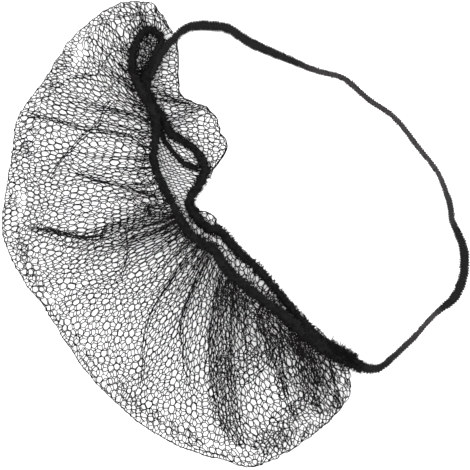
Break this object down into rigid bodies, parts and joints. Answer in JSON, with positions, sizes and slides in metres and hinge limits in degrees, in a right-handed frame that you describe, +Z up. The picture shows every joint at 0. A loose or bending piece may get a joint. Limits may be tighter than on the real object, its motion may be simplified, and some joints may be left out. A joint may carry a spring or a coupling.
{
  "type": "disposable beard net",
  "caption": "Black honeycomb-net beard cover lying flat: a hollow gathered bag with an elasticated mouth and a flat elastic loop that goes round the head.",
  "frame": {"origin": "on the floor, under the middle of the whole net as it lies", "axes": "+Z up from the floor, +X from the bag towards the head loop, +Y towards the top of the mouth"},
  "size_m": [0.2342, 0.2331, 0.0219],
  "materials": {
    "net": "matt nylon net",
    "hem": "matt gathered net, fuzzy",
    "elastic": "matt ribbed knit"
  },
  "bodies": {
    "root": {"net_bag": "net", "mouth_hem": "hem", "head_loop": "elastic", "elastic_tail": "elastic"}
  },
  "joints": []
}
